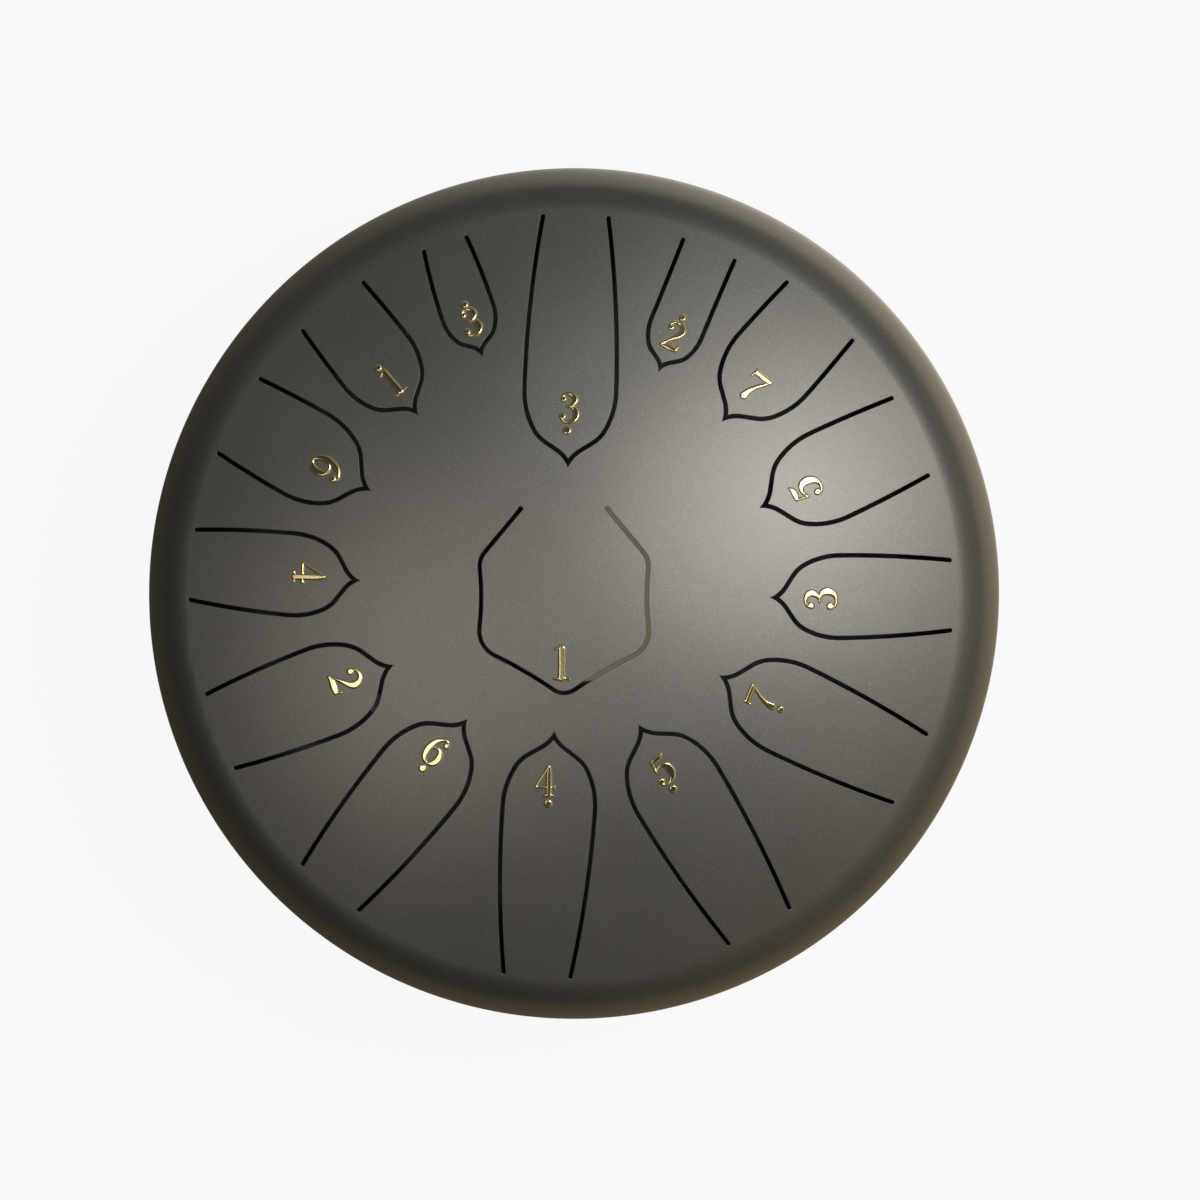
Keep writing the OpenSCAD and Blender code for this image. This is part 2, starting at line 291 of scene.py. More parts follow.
def on_dome(plan, inset=0.0, drop=0.0):
    """Points of the plan lifted to the dome's sphere, or to one inset by the sheet, less a drop."""
    rise = np.sqrt((DOME_R - inset) ** 2 - (plan ** 2).sum(-1))
    return np.concatenate([plan, (DOME_Z + rise - drop)[..., None]], -1)


def dome_normal(points):
    """Direction from the middle of the dome's sphere."""
    away = points - [0.0, 0.0, DOME_Z]
    return away / np.linalg.norm(away, axis=-1, keepdims=True)


def flat(directions):
    """Level directions in space from directions in the plan."""
    return np.concatenate([directions, np.zeros(directions.shape[:-1] + (1,))], -1)


class Skin:
    """A closed surface put together from grids and triangles that share their points, with the
    worked-out normal at each corner."""

    def __init__(self):
        self.points, self.faces, self.normals = np.zeros((0, 3)), [], []

    def put(self, points):
        """Adds points of a grid and returns their numbers in the same grid."""
        first = len(self.points)
        self.points = np.vstack([self.points, points.reshape(-1, 3)])
        return np.arange(first, len(self.points)).reshape(points.shape[:-1])

    def cover(self, faces, normals):
        """Adds faces of equal size, turned so that they face the way of their normals."""
        a, b, c = (self.points[faces[:, k]] for k in range(3))
        facing = np.cross(b - a, c - a)
        if faces.shape[1] == 4:
            facing = np.cross(c - a, self.points[faces[:, 3]] - b)
        wrong = (facing * normals.sum(1)).sum(1) < 0
        faces[wrong], normals[wrong] = faces[wrong, ::-1], normals[wrong, ::-1]
        self.faces.append(faces)
        self.normals.append(normals.reshape(-1, 3))

    def weave(self, numbers, normals, closed=False):
        """Covers a grid of point numbers, with a grid of normals or one normal for all."""
        normals = np.broadcast_to(normals, numbers.shape + (3,))
        if closed:
            numbers = np.concatenate([numbers, numbers[:, :1]], 1)
            normals = np.concatenate([normals, normals[:, :1]], 1)
        self.cover(*(np.stack([g[:-1, :-1], g[1:, :-1], g[1:, 1:], g[:-1, 1:]], 2).reshape(
            (-1, 4) + g.shape[2:]).copy() for g in (numbers, normals)))

    def piece(self, name, finish, node=None, body="drum"):
        """Makes the mesh object, in metres, and lets it ride in place of its CAD node."""
        mesh = bpy.data.meshes.new(name)
        sizes = np.concatenate([np.full(len(f), f.shape[1]) for f in self.faces])
        corners = np.concatenate([f.ravel() for f in self.faces])
        mesh.vertices.add(len(self.points))
        mesh.vertices.foreach_set("co", (self.points / 1000).ravel())
        mesh.loops.add(len(corners))
        mesh.loops.foreach_set("vertex_index", corners)
        mesh.polygons.add(len(sizes))
        mesh.polygons.foreach_set("loop_start", np.concatenate([[0], np.cumsum(sizes)[:-1]]))
        mesh.update(calc_edges=True)
        mesh.normals_split_custom_set(np.concatenate(self.normals).tolist())
        return seat(bpy.data.objects.new(name, mesh), finish, node, body)


def seat(piece, finish, node, body):
    """Gives a piece its finish, and lets it ride on a body in place of a CAD node."""
    bpy.context.scene.collection.objects.link(piece)
    piece.data.materials.append(finish.material)
    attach(piece, body)
    if node:
        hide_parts(node)
    return piece


def eased_edge(skin, loop_of, shape, way):
    """Carries the section of an eased edge along a cut, whose wall faces out of its loop where way
    is 1, as a tongue's does, and into it where way is -1: a quarter circle from the dome down,
    where a point at angle t stands EASE (1 - sin t) off the cut and EASE (1 - cos t) deep, then
    the straight cut through the sheet, which leans by LEAN at the root line, so that no light
    falls through there. Returns the numbers of the top and the bottom loop."""
    angles = np.linspace(0, math.pi / 2, 5)
    rows, normals = [], []
    for t in angles:
        plan, outward = loop_of(shape, EASE * (1 - math.sin(t)))
        points = on_dome(plan, drop=EASE * (1 - math.cos(t)))
        rows.append(points)
        normals.append(math.cos(t) * dome_normal(points) + math.sin(t) * way * flat(outward))
    rows.append(on_dome(plan, SHEET))
    normals.append(normals[-1])
    count = len(plan)
    half = (count - ACROSS + 3) // 2
    sides = np.r_[half + ACROSS - 3:count, 0:half]
    root = np.arange(half - 1, half + ACROSS - 2)
    rows[-1][root, :2] += LEAN * turned(shape[0])
    numbers, normals = skin.put(np.array(rows)), np.array(normals)
    skin.weave(numbers[:, sides], normals[:, sides])
    skin.weave(numbers[:, root], way * flat(turned(shape[0])))
    return numbers[0], numbers[-1]


def within(points, loop):
    """Which points lie inside a closed outline, by the count of its sides that a ray crosses."""
    a, b = loop, np.roll(loop, -1, 0)
    x, y = points[:, :1], points[:, 1:]
    spans = (a[:, 1] > y) != (b[:, 1] > y)
    with np.errstate(divide="ignore", invalid="ignore"):
        crossing = a[:, 0] + (y - a[:, 1]) / (b[:, 1] - a[:, 1]) * (b[:, 0] - a[:, 0])
    return (spans & (x < crossing)).sum(1) % 2 == 1


# The shoulder's arc runs from the dome to the wall: its middle lies DOME_R - SHOULDER_R from the
# middle of the dome's sphere, on a line beside the wall, and TILT is where the dome ends.
foot_x = SEAM_R - SHOULDER_R / math.cos(DRAFT)
slope = math.tan(DRAFT)
half_b = LAND_TOP - DOME_Z - foot_x * slope
quad_c = foot_x ** 2 + (LAND_TOP - DOME_Z) ** 2 - (DOME_R - SHOULDER_R) ** 2
rise = (math.sqrt(half_b ** 2 - (1 + slope ** 2) * quad_c) - half_b) / (1 + slope ** 2)
SHOULDER = np.array([foot_x - rise * slope, LAND_TOP + rise])
TILT = math.atan2(SHOULDER[0], SHOULDER[1] - DOME_Z)

top = Skin()
top_loops, under_loops = zip(*(eased_edge(top, opening_loop, shape, -1) for shape in SHAPES.values()))
turn = np.radians(np.arange(ROUND))
spokes = np.stack([np.cos(turn), np.sin(turn)], 1)
edge_r = DOME_R * math.sin(TILT)

# Between the openings the dome is covered with triangles that share the points of every cut.
# Their other points stand on rings CELL apart, with 6, 12, 18 and so on points, where they are
# clear of the rim and the cuts.
CELL, RINGS, RIM_CLEAR, CUT_CLEAR = 7.0, 22, 3.0, 2.2
rings = [np.arange(6 * k) * math.tau / (6 * k) for k in range(1, RINGS + 1)]
field = np.concatenate([[[0.0, 0.0]]] + [
    CELL * (k + 1) * np.stack([np.cos(a), np.sin(a)], 1) for k, a in enumerate(rings)])
keep = np.linalg.norm(field, axis=1) < edge_r - RIM_CLEAR
for loop in top_loops:
    outline = top.points[loop, :2]
    clear = np.linalg.norm(field[:, None] - outline, axis=2).min(1)
    keep &= ~within(field, outline) & (clear > CUT_CLEAR)
field = field[keep]

plan = np.vstack([edge_r * spokes, field] + [top.points[loop, :2] for loop in top_loops])
starts = np.cumsum([0, ROUND, len(field)] + [len(loop) for loop in top_loops])
fences = []
for first, last in [(0, ROUND)] + list(zip(starts[2:-1], starts[3:])):
    ring = np.arange(first, last)
    fences.append(np.stack([ring, np.roll(ring, -1)], 1))
found = delaunay_2d_cdt(plan.tolist(), np.concatenate(fences).tolist(), [], 0, 1e-7)
back_to = np.array([source[0] for source in found[3]])
triangles = back_to[np.array(found[2])]
middles = plan[triangles].mean(1)
solid = np.ones(len(triangles), bool)
for loop in top_loops:
    solid &= ~within(middles, top.points[loop, :2])
triangles = triangles[solid]

rims = []
for loops, inset, way in ((top_loops, 0.0, 1), (under_loops, SHEET, -1)):
    rims.append(top.put(on_dome((DOME_R - inset) * math.sin(TILT) * spokes, inset)))
    faces = np.concatenate([rims[-1], top.put(on_dome(field, inset)), *loops])[triangles]
    top.cover(faces, way * dome_normal(top.points[faces]))


def shoulder_rows(inset):
    """Radius, height and normal down the shoulder, the wall and the land, as an arc and a line."""
    angles = np.linspace(math.pi / 2 - TILT, DRAFT, 25)
    normal = np.stack([np.cos(angles), np.sin(angles)], 1)
    rows = SHOULDER + (SHOULDER_R - inset) * normal
    rows = np.vstack([rows, [SEAM_R - inset, LAND_TOP], [SEAM_R - inset, LAND_FOOT]])
    return rows, np.vstack([normal, turned(2.5), [1.0, 0.0]])


def carried_round(rows):
    """Each row's radius and height carried round the drum's axis."""
    return np.concatenate([rows[:, None, :1] * spokes, np.broadcast_to(
        rows[:, None, 1:], (len(rows), ROUND, 1))], 2)


outer_rows, outer_normal = shoulder_rows(0.0)
inner_rows, inner_normal = shoulder_rows(SHEET)
outer = np.vstack([rims[0][None], top.put(carried_round(outer_rows[1:]))])
inner = np.vstack([rims[1][None], top.put(carried_round(inner_rows[1:]))])
top.weave(outer, carried_round(outer_normal), closed=True)
top.weave(inner, -carried_round(inner_normal), closed=True)
top.weave(np.vstack([outer[-1:], inner[-1:]]), np.array([0.0, 0.0, -1.0]), closed=True)
top.piece("upper_shell_sheet", paint, "upper_shell")


# Fifteen tongues, cut from the upper shell's own sheet and still part of it at their roots, so
# they carry the same paint. Each stands for its CAD solid and rides on a body of its own.
def tongue(shape):
    """The skin of a tongue: its eased edge and, on the dome and under it, rows from side to side."""
    skin = Skin()
    top_loop, under_loop = eased_edge(skin, tongue_loop, shape, 1)
    for loop, inset, way in ((top_loop, 0.0, 1), (under_loop, SHEET, -1)):
        half = (len(loop) - ACROSS + 3) // 2
        left, right = loop[1:half], loop[:half + ACROSS - 3:-1]
        share = np.linspace(0, 1, ACROSS)[None, 1:-1, None]
        sides = [skin.points[side, :2][:-1, None] for side in (left, right)]
        inside = skin.put(on_dome(sides[0] * (1 - share) + sides[1] * share, inset))
        rows = np.concatenate([left[:-1, None], inside, right[:-1, None]], 1)
        rows = np.vstack([rows, loop[half - 1:half + ACROSS - 1]])
        skin.weave(rows, way * dome_normal(skin.points[rows]))
        fan = np.stack([np.full(ACROSS - 1, loop[0]), rows[0, :-1], rows[0, 1:]], 1)
        skin.cover(fan, way * dome_normal(skin.points[fan]))
    return skin


for name, shape in SHAPES.items():
    tongue(shape).piece("tongue_" + name + "_blade", paint, "tongue_" + name, name)


# Numerals: electroformed signs with a flat polished top, bevelled edges and a gold plate, glued on
# the tongues over the paint. A dot under or over a numeral is the lower or the higher octave.
gold = Finish("note_numerals", Metallic=0.94)
gold.feed(
    Base_Color=gold.mix(gold.noise(500.0, 2.0), (0.80, 0.66, 0.33, 1.0), (0.88, 0.75, 0.41, 1.0)),
    Roughness=0.13 + 0.01 * (gold.noise(500.0, 1.0) - 0.5),
    Normal=gold.bump(gold.noise(260.0, 1.0), 0.000008),
)

# Plain edge, bevel's height and width, its curve, and how deep the plate sinks in its glue. PITCH
# is the grid's, and BOLD widens every stroke by a share and a length. A normal is taken over twice
# SPREAD, and on the rim INWARDS of it.
SIGN_H, BEVEL_H, BEVEL_W, BEVEL_CURVE, GLUE = 0.10, 0.40, 0.80, 1.6, 0.03
PITCH = 0.14
BOLD = (1.18, 0.27)
INWARDS, SPREAD = 0.06, 0.08

# Strokes of each numeral: places on its line and the half width there, on a body 14 mm high.
NUMERALS = {
    1: [[(0.15, 6.0, 1.2), (0.15, 0.0, 1.1), (0.15, -6.5, 1.15)],
        [(0.9, 7.0, 0.35), (-0.6, 6.5, 0.5), (-2.6, 5.7, 0.3)],
        [(-3.0, -6.95, 0.32), (3.3, -6.95, 0.32)], [(-1.1, -6.6, 0.45), (1.4, -6.6, 0.45)]],
    2: [[(-2.7, 3.7, 1.25), (-2.8, 3.6, 1.25)],
        [(-3.6, 4.1, 0.4), (-2.7, 6.1, 0.55), (-0.3, 7.0, 0.6), (2.4, 6.2, 1.05), (3.5, 3.7, 1.35),
         (2.6, 1.2, 1.1), (0.0, -1.6, 0.7), (-2.2, -4.0, 0.5), (-4.2, -6.4, 0.45)],
        [(-4.2, -6.6, 0.45), (-2.0, -6.1, 0.95), (1.0, -6.1, 1.2), (3.3, -6.2, 1.0)],
        [(3.8, -6.3, 0.7), (4.5, -3.8, 0.3)]],
    3: [[(-2.5, 4.5, 1.15), (-2.6, 4.4, 1.15)],
        [(-3.3, 4.8, 0.35), (-2.4, 6.3, 0.5), (-0.2, 7.0, 0.55), (2.1, 6.2, 1.0), (3.0, 4.1, 1.25),
         (2.0, 1.9, 0.9), (0.3, 0.8, 0.45), (-1.0, 0.65, 0.35)],
        [(-0.8, 0.65, 0.35), (1.0, 0.55, 0.5), (3.1, -0.8, 1.1), (3.7, -3.2, 1.35), (2.6, -5.8, 1.05),
         (0.0, -7.0, 0.55), (-2.6, -6.4, 0.5), (-3.7, -4.6, 0.4)],
        [(-2.9, -4.2, 1.25), (-3.0, -4.1, 1.25)]],
    4: [[(1.5, 6.6, 0.75), (1.6, 3.0, 1.05), (1.6, -3.0, 1.1), (1.6, -6.8, 1.05)],
        [(1.4, 6.9, 0.45), (-4.5, -2.6, 0.38)], [(-4.5, -3.0, 0.38), (4.2, -3.0, 0.38)],
        [(4.3, -2.3, 0.3), (4.3, -3.6, 0.3)], [(-0.7, -6.95, 0.32), (4.0, -6.95, 0.32)],
        [(0.4, -6.6, 0.45), (2.9, -6.6, 0.45)]],
    5: [[(-2.6, 6.0, 0.55), (-0.6, 5.8, 1.05), (1.6, 6.1, 0.95), (3.6, 7.2, 0.2)],
        [(-2.7, 6.2, 0.38), (-3.2, 0.6, 0.38)],
        [(-3.1, 0.5, 0.4), (-1.5, 1.9, 0.5), (0.8, 2.2, 0.75), (3.0, 0.9, 1.3), (3.6, -2.0, 1.5),
         (2.6, -5.2, 1.15), (0.1, -6.9, 0.6), (-2.4, -6.6, 0.5), (-3.6, -4.9, 0.4)],
        [(-2.8, -4.5, 1.2), (-2.9, -4.4, 1.2)]],
    6: [[(2.7, 5.1, 1.15), (2.8, 5.0, 1.15)],
        [(3.5, 5.6, 0.4), (2.3, 6.9, 0.45), (0.2, 6.6, 0.6), (-2.2, 4.2, 1.0), (-3.2, 1.0, 1.25),
         (-3.4, -2.4, 1.3), (-2.4, -5.6, 1.0), (0.0, -7.0, 0.5), (2.5, -5.6, 1.05), (3.4, -2.6, 1.35),
         (2.5, 0.3, 1.0), (0.3, 1.5, 0.5), (-2.0, 0.5, 0.45), (-3.0, -1.2, 0.6)]],
    7: [[(-3.6, 5.6, 0.95), (-1.0, 5.9, 0.9), (1.6, 6.0, 0.95), (3.2, 6.4, 0.65), (4.3, 6.9, 0.25)],
        [(-4.2, 6.9, 0.3), (-4.4, 3.2, 0.28)],
        [(4.1, 6.8, 0.35), (2.6, 4.0, 0.55), (0.6, 0.6, 0.65), (-0.7, -2.8, 0.95), (-1.0, -5.6, 1.35),
         (-1.0, -5.9, 1.35)]],
}

# Numeral, whether its top points outwards (1) or inwards (-1), its middle along and across the
# tongue from the middle of the pattern, its size, its tilt in degrees as glued, and its dot's
# place and radius.
SIGNS = {
    "mid_1": (1, 1, (-25.5, 1.0), 0.95, -0.4, None),
    "low_3": (3, 1, (77.4, 0.3), 0.83, 0.4, (68.2, 0.7, 1.9)),
    "low_4": (4, -1, (73.9, -2.1), 0.87, 2.6, (83.1, -0.4, 1.85)),
    "low_5": (5, -1, (79.8, -1.1), 0.85, -0.8, (88.8, -1.2, 1.85)),
    "low_6": (6, -1, (80.5, -1.8), 0.86, 1.5, (89.5, -1.5, 1.8)),
    "low_7": (7, -1, (89.6, -0.8), 0.88, 0.4, (98.8, -1.3, 1.65)),
    "mid_2": (2, -1, (94.6, -1.3), 0.90, 0.8, None),
    "mid_3": (3, -1, (104.1, -1.1), 0.91, 0.4, None),
    "mid_4": (4, -1, (104.0, -1.1), 0.90, 3.8, None),
    "mid_5": (5, -1, (107.8, -1.4), 0.89, -2.6, None),
    "mid_6": (6, -1, (110.2, 0.8), 0.91, -0.4, None),
    "mid_7": (7, 1, (115.4, -0.7), 0.92, -1.9, None),
    "high_1": (1, 1, (112.5, -0.1), 0.82, 3.0, (120.6, 0.9, 1.6)),
    "high_2": (2, 1, (115.6, -0.2), 0.81, -1.1, (124.0, -0.8, 1.6)),
    "high_3": (3, 1, (118.5, 0.1), 0.80, -1.1, (126.4, 0.1, 1.6)),
}


def smooth(stroke):
    """Places along a curve through a stroke's points, each span a cubic that leaves a point in
    the direction from the point before it to the point after it."""
    p = np.array(stroke, float)
    if len(p) == 2:
        return p
    q = np.vstack([2 * p[0] - p[1], p, 2 * p[-1] - p[-2]])
    a, b, c, d = q[:-3, None], q[1:-2, None], q[2:-1, None], q[3:, None]
    t = np.linspace(0, 1, 9)[None, :, None]
    curve = 2 * b + (c - a) * t + (2 * a - 5 * b + 4 * c - d) * t ** 2 + (3 * b - a - 3 * c + d) * t ** 3
    return (curve / 2).reshape(-1, 3)


def outside(points, strokes, melt=0.25):
    """How far each point lies outside a numeral: its distance from the nearest place on a
    stroke's line less the half width there, the least of all strokes, with melted corners."""
    least = None
    for stroke in strokes:
        a, b = stroke[:-1], stroke[1:]
        run = (b - a)[:, :2]
        share = ((points[:, None] - a[:, :2]) * run).sum(2) / np.maximum((run ** 2).sum(1), 1e-9)
        near = a + np.clip(share, 0, 1)[..., None] * (b - a)
        far = (np.linalg.norm(points[:, None] - near[..., :2], axis=2) - near[..., 2]).min(1)
        if least is None:
            least = far
        else:
            close = np.maximum(melt - abs(least - far), 0)
            least = np.minimum(least, far) - close ** 2 / (4 * melt)
    return least


def slope_of(height, points, step=0.02):
    """Change of a height along x and along y, from its values on either side."""
    moves = step * np.array([[1.0, 0.0], [0.0, 1.0]])
    return np.stack([height(points + m) - height(points - m) for m in moves], 1) / (2 * step)


def sign(name, digit, way, middle, size, tilt, dot):
    """A numeral as a height over a fine grid: inside its outline the bevel climbs as
    BEVEL_H (1 - (1 - s / BEVEL_W) ^ BEVEL_CURVE) of the distance s from the edge. The outermost
    points are moved onto the outline, and the whole lies on the dome's sphere."""
    strokes = [size * (smooth(stroke) * [1, 1, BOLD[0]] + [0, 0, BOLD[1]])
               for stroke in NUMERALS[digit]]
    along, across = turned(SHAPES[name][0]), turned(SHAPES[name][0] + 90)
    anchor = on_dome(PATTERN + middle[0] * along + middle[1] * across)
    up = dome_normal(anchor)
    high = way * flat(along)
    high = high - (high @ up) * up
    high = high / np.linalg.norm(high)
    high = turned(tilt) @ [high, np.cross(up, high)]
    wide = np.cross(high, up)
    if dot:
        gap = (dot[0] - middle[0]) * flat(along) + (dot[1] - middle[1]) * flat(across)
        place = [gap @ wide, gap @ high]
        strokes.append(np.array([[*place, dot[2]], [place[0] + 0.01, place[1], dot[2]]]))
    ends = np.concatenate(strokes)
    low, top_corner = ((ends[:, :2] + k * ends[:, 2:]) for k in (-1, 1))
    low, top_corner = low.min(0) - 3 * PITCH, top_corner.max(0) + 3 * PITCH
    x, y = (np.arange(low[k], top_corner[k], PITCH) for k in (0, 1))
    grid = np.stack(np.meshgrid(x, y), 2)
    numbers = np.arange(grid[..., 0].size).reshape(grid.shape[:2])
    grid = grid.reshape(-1, 2)
    cells = np.stack([numbers[:-1, :-1], numbers[:-1, 1:], numbers[1:, 1:], numbers[1:, :-1]], 2)
    cells = cells.reshape(-1, 4)
    cells = cells[outside(grid[cells].mean(1), strokes) < 0]
    sides = np.concatenate([np.stack([cells[:, k], cells[:, (k + 1) % 4]], 1) for k in range(4)])
    code, back = sides @ [len(grid), 1], sides @ [1, len(grid)]
    rim = sides[~np.isin(code, back)]
    edge = np.unique(rim)

    def far(points):
        return outside(points, strokes)

    for _ in range(3):
        slope = slope_of(far, grid[edge])
        grid[edge] -= far(grid[edge])[:, None] * slope / np.maximum((slope ** 2).sum(1), 0.2)[:, None]

    def climb(points):
        return BEVEL_H * (1 - (1 - np.clip(-far(points) / BEVEL_W, 0, 1)) ** BEVEL_CURVE)

    used, place_of = np.unique(cells, return_inverse=True)
    cells, flat_plan = place_of.reshape(-1, 4), grid[used]
    rim = np.searchsorted(used, rim)

    def lifted(height):
        """Points at a height over the sphere, in line with its middle."""
        away = dome_normal(anchor + flat_plan[:, :1] * wide + flat_plan[:, 1:] * high)
        return [0.0, 0.0, DOME_Z] + away * (DOME_R + height)[:, None]

    skin = Skin()
    face = skin.put(lifted(SIGN_H + climb(flat_plan)))
    base = skin.put(lifted(np.full(len(used), -GLUE)))
    out = slope_of(far, flat_plan)
    on_rim = np.isin(np.arange(len(used)), rim)[:, None]
    slope = slope_of(climb, flat_plan - INWARDS * on_rim * out, SPREAD)
    normal = up - slope[:, :1] * wide - slope[:, 1:] * high
    normal /= np.linalg.norm(normal, axis=1, keepdims=True)
    skin.cover(face[cells], normal[cells])
    skin.cover(base[cells], np.broadcast_to(-up, cells.shape + (3,)).copy())
    out = (out[:, :1] * wide + out[:, 1:] * high) / np.linalg.norm(out, axis=1, keepdims=True)
    walls = np.stack([face[rim[:, 0]], face[rim[:, 1]], base[rim[:, 1]], base[rim[:, 0]]], 1)
    skin.cover(walls, out[rim[:, [0, 1, 1, 0]]])
    skin.piece("numeral_" + name, gold, None, name)


for name, row in SIGNS.items():
    sign(name, *row)


# Lower shell: a pressed bowl of the same sheet, with a flat underside, a sound hole whose lip is
# turned in, and a rim that steps inwards and laps inside the upper shell. Sprayed in one go.
def arc(centre, radius, start, end, steps):
    """Points of an arc of radius and height, in equal steps, and their outward directions."""
    angles = np.radians(np.linspace(start, end, steps + 1))
    out = np.stack([np.cos(angles), np.sin(angles)], 1)
    return centre + radius * out, out


def turned_skin(skin, rows, normals):
    """Carries rows of radius and height round the drum's axis and covers them."""
    numbers = skin.put(carried_round(np.asarray(rows, float)))
    skin.weave(numbers, carried_round(np.asarray(normals, float)), closed=True)
    return numbers


UNDER_Z, LAND_BASE = 10.0, 76.0
HOLE_R, LIP_H, LIP_R = 40.0, 9.0, 2.5
CORNER_R = 50.0
JOGGLE_Z, JOGGLE_TOP, LAP_TOP, LAP_R = 82.2, 85.4, 94.0, 176.1
corner = np.array([SEAM_R - (LAND_BASE - UNDER_Z - CORNER_R) * slope - CORNER_R / math.cos(DRAFT),
                   UNDER_Z + CORNER_R])
lip = np.array([HOLE_R + SHEET + LIP_R, UNDER_Z + SHEET + LIP_R])
bowl = Skin()


def bowl_side(inset):
    """Rows up one side of the bowl's sheet: lip, underside, corner, wall, step and lap."""
    lip_rows, lip_out = arc(lip, LIP_R + SHEET - inset, 180, 270, 8)
    corner_rows, corner_out = arc(corner, CORNER_R - inset, -90, -5, 30)
    floor_r = np.linspace(lip[0], corner[0], 14)[1:-1]
    rows = [(HOLE_R + inset, UNDER_Z + LIP_H), *lip_rows, *((r, UNDER_Z + inset) for r in floor_r),
            *corner_rows, (SEAM_R - inset, LAND_BASE), (SEAM_R - inset, JOGGLE_Z),
            (LAP_R - inset, JOGGLE_TOP), (LAP_R - inset, LAP_TOP)]
    out = [(-1, 0), *lip_out, *((0, -1) for _ in floor_r), *corner_out, turned(-2.5),
           (1, 0), (1, 0), (1, 0)]
    return rows, out


shell_out, normals_out = bowl_side(0.0)
shell_in, normals_in = bowl_side(SHEET)
outside_rows = turned_skin(bowl, shell_out, normals_out)
inside_rows = turned_skin(bowl, shell_in, -np.asarray(normals_in, float))
bowl.weave(np.vstack([outside_rows[:1], inside_rows[:1]]), np.array([0.0, 0.0, 1.0]), closed=True)
bowl.weave(np.vstack([outside_rows[-1:], inside_rows[-1:]]), np.array([0.0, 0.0, 1.0]), closed=True)
bowl.piece("lower_shell_sheet", paint, "lower_shell")


# Seam weld: the bead that fills the groove between the shells, ground down by hand and painted,
# with a faint waviness left in it.
# Its section is an oval in the groove, ground off at the shells' face less the ripple, which is a
# sum of two waves round the drum.
bead = Skin()
angles = np.linspace(0, math.tau, 25)[:-1, None]
OVAL_MIDDLE, OVAL_R, OVAL_FILL = 0.9975, 0.84, 0.98
middle_z, half_h = (JOGGLE_Z + LAND_FOOT) / 2, (LAND_FOOT - JOGGLE_Z) / 2
ripple = 0.10 + 0.05 * np.sin(61 * turn) + 0.04 * np.sin(23 * turn + 1.3)
bead_r = LAP_R + np.minimum(OVAL_MIDDLE + OVAL_R * np.cos(angles), SEAM_R - LAP_R - ripple)
bead_z = middle_z + half_h * OVAL_FILL * np.sin(angles) + 0 * bead_r
numbers = bead.put(np.concatenate([bead_r[..., None] * spokes, bead_z[..., None]], 2))
out = np.concatenate([np.cos(angles)[..., None] * spokes,
                      np.broadcast_to(np.sin(angles)[..., None], bead_r.shape + (1,))], 2)
numbers, out = np.vstack([numbers, numbers[:1]]), np.vstack([out, out[:1]])
bead.weave(numbers, out, closed=True)
bead.piece("seam_weld_bead", paint, "seam_weld")


# Feet: three moulded black rubber feet, with a recess for the screw's head and a fine moulding
# grain. Their CAD solids stay.
rubber = Finish("foot_rubber", Base_Color=(0.022, 0.022, 0.023, 1.0))
grain = rubber.noise(2200.0, 3.0, 0.6)
rubber.feed(
    Base_Color=rubber.mix(rubber.noise(120.0), (0.018, 0.018, 0.019, 1.0), (0.036, 0.035, 0.034, 1.0)),
    Roughness=0.62 + 0.2 * (grain - 0.5),
    Normal=rubber.bump(grain, 0.00006),
)

# Screws, washers and nuts: bright zinc plated steel, turned and stamped. Their CAD solids stay.
zinc = Finish("zinc_steel", Metallic=1.0)
marks = zinc.noise(900.0, 3.0, 0.6)
zinc.feed(
    Base_Color=zinc.mix(zinc.noise(300.0), (0.50, 0.51, 0.53, 1.0), (0.66, 0.66, 0.64, 1.0)),
    Roughness=0.34 + 0.25 * (marks - 0.5),
    Normal=zinc.bump(marks, 0.00001),
)
for name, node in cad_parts.items():
    if name.startswith("foot"):
        finish = zinc if name.count("_") == 2 else rubber
        node.material_slots[0].material = finish.material


# Studio: the drum stands on a white floor under a dim ceiling, with two crossed soft lamps on the
# right and a warm one on the left, and is photographed from straight above. Sizes here are in
# metres. In mirrors the floor shows a painted reflection, a tinted glow brightest on the right,
# in place of a room round the drum. Seen straight it glows white, with painted shade near the
# drum and a painted warm glow under the sound hole.
FLOOR_HALF, STAND_R, HOLE_VIEW_R = 9.0, 0.150, 0.050
# The floor under the drum shows this bright in mirrors: a painted reflection.
UNDER_GLOW = 0.32
floor = bpy.data.objects.new("floor", bpy.data.meshes.new("floor"))
corners = [(x * FLOOR_HALF, y * FLOOR_HALF, 0) for x, y in ((-1, -1), (1, -1), (1, 1), (-1, 1))]
floor.data.from_pydata(corners, [], [(0, 1, 2, 3)])
bpy.context.scene.collection.objects.link(floor)
white = Finish("floor_white", Roughness=0.9, Base_Color=grey(0.8))
far_x, far_y, _ = white.split(white.place())
far_off = far_x * far_x + far_y * far_y
# Painted shade in mirrors: within STAND_R the floor shows only the dim UNDER_GLOW in reflections, as if
# the drum shaded it.
open_floor = far_off > STAND_R ** 2
# How white the floor glows to the camera, by distance from the middle: little in the sound hole's view,
# about half under the drum, and nearly all beyond its edge. Where it glows less the floor's own shading
# shows, the drum's real shadow and also painted shade, since the floor there is darker than the glow
# even where no shadow falls.
glow_share_with_painted_shade = white.node("ValToRGB", {"stops": [
    (0.0, grey(0.09)), (1.0, grey(0.92)), (0.048, grey(0.09)), (0.052, grey(0.45)),
    (0.125, grey(0.45)), (0.185, grey(0.92))]}, {0: far_off.work("POWER", far_off, 0.5)})
camera_ray, glossy_ray, through_ray = (white.node("LightPath", output=k) for k in (0, 3, 6))
seen = camera_ray + through_ray
